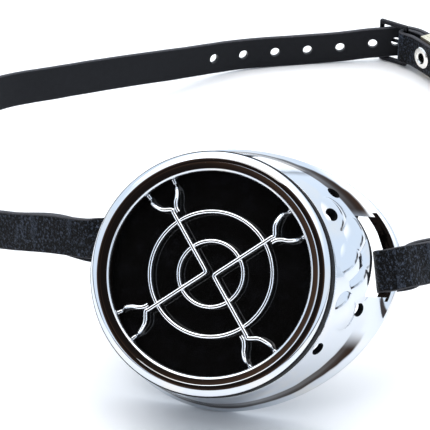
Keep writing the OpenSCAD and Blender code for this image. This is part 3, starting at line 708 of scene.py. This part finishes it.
def strap_frames(line, side):
    """Places, outward normals, width directions and line directions along a strap's line."""
    place = line[:, :3]
    ahead = np.vstack([place[1:], place[-1:]]) - np.vstack([place[:1], place[:-1]])
    t = unit(ahead)
    out = unit(-side * np.cross([0, 0, 1], t))
    up = -side * np.cross(t, out)
    lean = np.radians(line[:, 3])[:, None]
    return [place, np.cos(lean) * out + np.sin(lean) * up, np.cos(lean) * up - np.sin(lean) * out, t]


def half_turn(f, spread, reach, away, i=0, steps=16):
    """The bend of a fold: from the frame i, half round to a layer at the spread."""
    p, n, w, t = (v[i] for v in f)
    a = np.radians(180 * np.arange(1, steps) / steps)[:, None]
    return [p - spread / 2 * n + spread / 2 * np.cos(a) * n + away * reach * np.sin(a) * t,
            unit(reach * np.cos(a) * n + away * spread / 2 * np.sin(a) * t),
            np.repeat(w[None], steps - 1, 0), np.repeat(t[None], steps - 1, 0)]


def backwards(f):
    return [v[::-1] for v in f]


def part_of(f, start, end):
    return [v[start:end] for v in f]


def folded(line, side, first):
    """The folded layer behind a line, which starts with points of its own."""
    places, normals = strap_frames(line, side)[:2]
    keys = range(len(first) * STEPS, len(line), STEPS)
    rest = [list(places[k] - line[k, 4] * normals[k]) + [line[k, 3]] for k in keys]
    f = strap_frames(catmull([p[:4] for p in first] + rest, STEPS), side)
    f[1] = -f[1]
    return f


LONG = catmull([
    line_point(-1, NOSE_Y, 3.8, NOSE_Z, 34, NOSE_Z - BACK_Z),
    line_point(-1, NOSE_Y, -1, NOSE_Z, 34, NOSE_Z - BACK_Z),
    line_point(-1, NOSE_Y, -5, NOSE_Z + 0.1, 11, NOSE_Z - BACK_Z - 0.4), [-47, 0.5, AH + 5.8, 8, 2.9],
    [-59, 1.8, AH + 4.3, 5, NEAR], [-74, 5, AH + 3, 2, NEAR], [-86.5, 14, AH + 1.8, 0, NEAR],
    [-95, 29, 27.4, -1, NEAR], [-99, 48, 26.3, -3, NEAR], [-99, 71, 23.8, -5, NEAR],
    [-94.3, 94.6, 19.4, -6, NEAR], [-82.2, 114.2, 15.2, -6, NEAR],
    [-69.2, 132.4, 11.4, -5, NEAR], [-55, 149.8, 7.9, -3, NEAR], [-39.2, 165.4, 5.7, -1, NEAR],
    [-21.6, 174.6, LOW, 0, NEAR], [-9.5, 179.3, LOW + 0.4, 0, NEAR], [-1.5, 182.1, BAR_H - 0.7, 0, NEAR],
    [3, 183.3, BAR_H - 0.3, 0, NEAR], [7.5, 184.9, BAR_H, 0, NEAR], [11, 185.6, BAR_H, 0, NEAR],
    [14.8, 184.7, BAR_H, 0, NEAR], [18.5, 182.1, BAR_H, 0, NEAR], [24.4, 176.8, BAR_H, 0, NEAR],
    [36.2, 164.4, BAR_H - 0.3, 0, NEAR]], STEPS)
SHORT = catmull([
    line_point(1, TEMPLE_Y, 4.3, TEMPLE_Z, 34, TEMPLE_Z - BACK_Z),
    line_point(1, TEMPLE_Y + 0.3, 2, TEMPLE_Z + 0.1, 34, TEMPLE_Z - BACK_Z),
    line_point(1, TEMPLE_Y + 1.2, -1.8, TEMPLE_Z - 0.6, 32.3, 4.5), [46.9, 7.5, AH + 7.6, 22, 3.6],
    [52.8, 14.5, AH + 6.6, 10, NEAR + 0.05], [59.8, 25.3, AH + 4.8, 3, NEAR], [66, 41, 28.5, 0, NEAR],
    [69, 61.5, 25.1, 0, NEAR], [68, 85, 21, 0, NEAR], [64, 107.5, 16.4, 0, NEAR], [56.5, 128.5, 11, 0, NEAR],
    [46.5, 147, 6.6, 0, NEAR + 0.2], [34.6, 162.6, LOW + 0.8, 0, 2.6], [22.8, 175.2, BAR_H, 0, BUCKLE_GAP],
    [16.8, 180.9, BAR_H, 0, BUCKLE_GAP], [14.3, 182.6, BAR_H, 0, BUCKLE_GAP],
    [11.7, 183.55, BAR_H, 0, BUCKLE_GAP]], STEPS)
LONG_F, SHORT_F = strap_frames(LONG, -1), strap_frames(SHORT, 1)
LONG_BACK = folded(LONG, -1, [
    line_point(-1, NOSE_Y, 3.8, BACK_Z, 34, 0), line_point(-1, NOSE_Y, -1, BACK_Z - 0.05, 34, 0),
    line_point(-1, NOSE_Y, -5, BACK_Z - 0.3, 14, 0)])
SHORT_BACK = folded(SHORT, 1, [
    line_point(1, TEMPLE_Y, 4.3, BACK_Z, 34, 0), line_point(1, TEMPLE_Y + 0.3, 1.9, BACK_Z - 0.1, 34, 0),
    line_point(1, TEMPLE_Y + 1, -1.2, BACK_Z - 1, 32.3, 0)])
TAB = 23 * STEPS // 4 + 1  # frames in each folded end at the cup
# the folded end lies a little lower than the layer in front of it
LONG_BACK[0] = LONG_BACK[0] - (0.9 * np.clip(np.arange(len(LONG_BACK[0])) / (3 * STEPS), 0, 1)
                               * np.sign(LONG_BACK[2][:, 2]))[:, None] * LONG_BACK[2]
# the folded end at the buckle, from the heel bar back
NEAR_F = backwards(part_of(SHORT_BACK, len(SHORT_BACK[0]) - 1 - 19 * STEPS // 4, None))


def chain(*parts):
    return [np.vstack([p[i] for p in parts]) for i in range(4)]


def along_line(places):
    return np.concatenate([[0], np.cumsum(np.linalg.norm(np.diff(places, axis=0), axis=1))])


def at_length(f, s):
    """Place and normal at a distance along a line of frames."""
    run = along_line(f[0])
    place = np.array([np.interp(s, run, f[0][:, i]) for i in range(3)])
    normal = unit(np.array([np.interp(s, run, f[1][:, i]) for i in range(3)]))
    return place + PLAN, normal


EDGE_WAVE = 2.5  # distance between the uneven spots of a cut edge


def strap_section():
    """The strap's section as (across, out), with rounded corners, and the finish of each side."""
    w, t, r = STRAP_W / 2, STRAP_T / 2, EDGE_R
    quarter = np.radians([30, 60])
    half = [(x, t, 0) for x in np.linspace(-(w - r), w - r, 15)]
    half += [(w - r + r * math.sin(a), t - r + r * math.cos(a), 2) for a in quarter]
    half += [(w, y, 2) for y in (t - r, 0, -t + r)]
    half += [(w - r + r * math.cos(a), -t + r - r * math.sin(a), 2) for a in quarter]
    # the other half is this one turned round, with the inside's finish
    return half + [(-x, -y, max(kind, 1)) for x, y, kind in half]


def leather(name, f, holes, seed):
    """A strap along frames, with holes through it, its faces finished by side and mapped along its length."""
    places, normals, widths = f[0] + PLAN, f[1], f[2]
    run = along_line(places)
    spots = strap_section()
    across = np.array([s[0] for s in spots])
    out = np.array([s[1] for s in spots])
    # cut edges are never quite straight
    knots = np.arange(0, run[-1] + EDGE_WAVE, EDGE_WAVE)
    width = 1 + np.interp(run, knots, np.random.default_rng(seed).normal(0, 0.004, len(knots)))[:, None]
    rows = (places[:, None] + widths[:, None] * (across[None, :, None] * width[..., None])
            + normals[:, None] * out[None, :, None])
    turn = np.sign((np.cross(f[1][0], f[2][0]) * (f[0][1] - f[0][0])).sum())
    piece = link(name, woven(name, rows, flip=turn < 0))
    count = len(spots)
    mesh = piece.data
    for material in (GRAIN, INSIDE, EDGE):
        mesh.materials.append(material)
    uv = mesh.uv_layers.new(name="strap")
    girth = np.concatenate([[0], np.cumsum(np.hypot(np.diff(across), np.diff(out)))])
    kinds = np.array([s[2] for s in spots])
    face_kind = np.full(len(mesh.polygons), 2)
    quads = (len(places) - 1) * count
    side = np.arange(quads) % count
    face_kind[:quads] = np.where(kinds[side] == kinds[(side + 1) % count], kinds[side], 2)
    mesh.polygons.foreach_set("material_index", face_kind)
    corner = np.zeros(len(mesh.loops), int)
    mesh.loops.foreach_get("vertex_index", corner)
    uv.data.foreach_set("uv", np.column_stack([run[corner // count], girth[corner % count]]).ravel())
    cutters = [rod(p - 4 * n, n, r, 8, 40) for p, n, r in holes]
    if cutters:
        joined(piece, cutters, "DIFFERENCE")
    return smooth(piece, 40)


HOLE_IN_USE, HOLE_R, HOLE_PITCH = along_line(LONG[:, :3])[19 * STEPS], 1.5, 10.6
EYELET_AT, EYELET_R = 9.4, 2.12  # its distance along the folded end at the buckle, and its barrel
HEEL = SHORT_F[0][-1] - BUCKLE_REACH * SHORT_F[1][-1] + PLAN
HEEL_ANGLE = math.radians(158)
HEEL_X = np.array([math.cos(HEEL_ANGLE), math.sin(HEEL_ANGLE), 0])
HEEL_Y = np.array([-math.sin(HEEL_ANGLE), math.cos(HEEL_ANGLE), 0])


def heel_cutter():
    """An upright box that opens the fold where the prong leaves the heel bar."""
    corners = ((-2.6, -4), (4.4, -4), (4.4, 0.5), (-2.6, 0.5))
    rows = [[HEEL + x * HEEL_X + y * HEEL_Y + [0, 0, z] for x, y in corners] for z in (-1.2, 1.2)]
    return link("cutter", woven("cutter", np.array(rows)))


def across_joint(start, way):
    """The bodies and places between which leather bends, given a start, seen from PLAN, and the way on."""
    start = np.array(start) + PLAN
    return "cup", "strap", tuple(start * MM), tuple((start + way) * MM)


def straps():
    # six free holes before the one in use, and two beyond it, towards the loose end
    spots = [HOLE_IN_USE - 7.5 - HOLE_PITCH * k for k in range(6)] + [HOLE_IN_USE]
    spots += [HOLE_IN_USE + 2.2 + HOLE_PITCH * k for k in (1, 2)]
    holes = [at_length(LONG_F, s) + (HOLE_R,) for s in spots]
    long_path = chain(backwards(part_of(LONG_BACK, 0, TAB)),
                      backwards(half_turn(LONG_F, NOSE_Z - BACK_Z, 1.8, -1)), LONG_F)
    piece = leather("long_leather", long_path, holes, 3)
    finish(piece, across_joint([-36.5, 0.3, 33.0], [-11, 11, 0]), "strap", GRAIN,
           "strap_fold_left", "strap_long", "strap_long_tab")
    short_path = chain(backwards(part_of(SHORT_BACK, 0, TAB)),
                       backwards(half_turn(SHORT_F, TEMPLE_Z - BACK_Z, 1.4, -1)), SHORT_F,
                       half_turn(SHORT_F, BUCKLE_GAP, BUCKLE_REACH, 1, -1), NEAR_F)
    eyelet_place, eyelet_normal = at_length(NEAR_F, EYELET_AT)
    piece = leather("short_leather", short_path, [], 5)
    bore = rod(eyelet_place - 1.2 * eyelet_normal, eyelet_normal, EYELET_R, 2.4, 40)
    joined(piece, [heel_cutter(), bore], "DIFFERENCE")
    finish(piece, across_joint([42.0, 1.3, 35.0], [8, 8, 0]), "strap", GRAIN,
           "strap_fold_right", "strap_short", "strap_short_tab")


def carried_over():
    """CAD pieces whose shape is right get their finishes."""
    for node, material in (("lens", BLACK_LENS), ("lens_gasket", RUBBER), ("rivet_left", NICKEL),
                           ("rivet_right", NICKEL), ("eyelet", NICKEL), ("keeper", BRASS),
                           ("buckle_frame", BLACKENED), ("buckle_prong", BLACKENED)):
        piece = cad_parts[node]
        piece.data.materials.clear()
        piece.data.materials.append(material)


# ---- table, studio and camera
def table():
    half = 1600  # mm
    corners = [(-half, -half, 0), (half, -half, 0), (half, half, 0), (-half, half, 0)]
    top = link("table", mesh_from("table", corners, [(0, 1, 2, 3)]))
    f = Finish("pale_table")
    f.set(Base_Color=mix_colour(f.tree, f.noise(0.02, 2), rgb(0.95, 0.95, 0.96), rgb(0.97, 0.97, 0.97)),
          Roughness=0.6)
    top.data.materials.append(f.material)


def studio():
    """A white studio, pale blue at half height, with dark patches near the horizon and a dark brown opening
    where the lens looks."""
    world = bpy.data.worlds.new("studio")
    bpy.context.scene.world = world
    world.use_nodes = True
    tree = world.node_tree
    tree.nodes.clear()
    way = add_node(tree, "ShaderNodeTexCoord").outputs["Generated"]

    def towards(x, y, z):
        node = add_node(tree, "ShaderNodeVectorMath", {0: way, 1: tuple(unit([x, y, z]))},
                        operation="DOT_PRODUCT")
        return Sum(tree, node.outputs["Value"])

    height = towards(0, 0, 1)
    sky = mix_colour(tree, height.ramp(0.55, 0.9), rgb(0.93, 1.05, 1.2), rgb(1.7, 1.72, 1.75))
    walls = 1 - (height - 0.03).size().ramp(0.03, 0.06)
    patchy = add_node(tree, "ShaderNodeTexNoise", {"Vector": way, "Scale": 2.2, "Detail": 1.0})
    room = mix_colour(tree, walls * Sum(tree, patchy.outputs[0]).ramp(0.38, 0.5), sky, rgb(0.07, 0.06, 0.06))
    facing = towards(-0.02, -0.83, 0.555)
    dark = mix_colour(tree, facing.ramp(0.84, 0.97), rgb(0.065, 0.038, 0.026), rgb(0.012, 0.009, 0.008))
    light = mix_colour(tree, facing.ramp(0.79, 0.83), room, dark)
    back = add_node(tree, "ShaderNodeBackground", {"Color": light, "Strength": 1.15})
    out = add_node(tree, "ShaderNodeOutputWorld")
    tree.links.new(back.outputs[0], out.inputs[0])


def lamp(name, place, aim, width, power):
    data = bpy.data.lights.new(name, "AREA")
    data.size, data.energy = width, power
    lamp_object = bpy.data.objects.new(name, data)
    bpy.context.scene.collection.objects.link(lamp_object)
    lamp_object.location = place
    lamp_object.rotation_euler = (Vector(aim) - Vector(place)).to_track_quat("-Z", "Y").to_euler()


SENSOR, PHOTO_PIXELS, FOCAL_PIXELS = 36, 430, 2141  # the photograph's focal length, fitted, in its own pixels


def camera():
    data = bpy.data.cameras.new("camera")
    data.lens, data.sensor_width = FOCAL_PIXELS / PHOTO_PIXELS * SENSOR, SENSOR
    data.clip_start, data.clip_end = 0.05, 10
    eye = bpy.data.objects.new("camera", data)
    bpy.context.scene.collection.objects.link(eye)
    az, el = math.radians(14.65), math.radians(30)
    way = Vector((-math.sin(az) * math.cos(el), math.cos(az) * math.cos(el), -math.sin(el)))
    eye.location = Vector((0.12449, -0.50846, 0.30266))
    eye.rotation_euler = way.to_track_quat("-Z", "Y").to_euler()
    bpy.context.scene.camera = eye


eye_cup()
lens_ring()
grille()
straps()
carried_over()
table()
studio()
lamp("key", (-0.15, 0.1, 0.9), (0, 0, 0.02), 1.2, 5)
camera()
scene = bpy.context.scene
scene.view_settings.view_transform = "Standard"
scene.view_settings.look = "None"
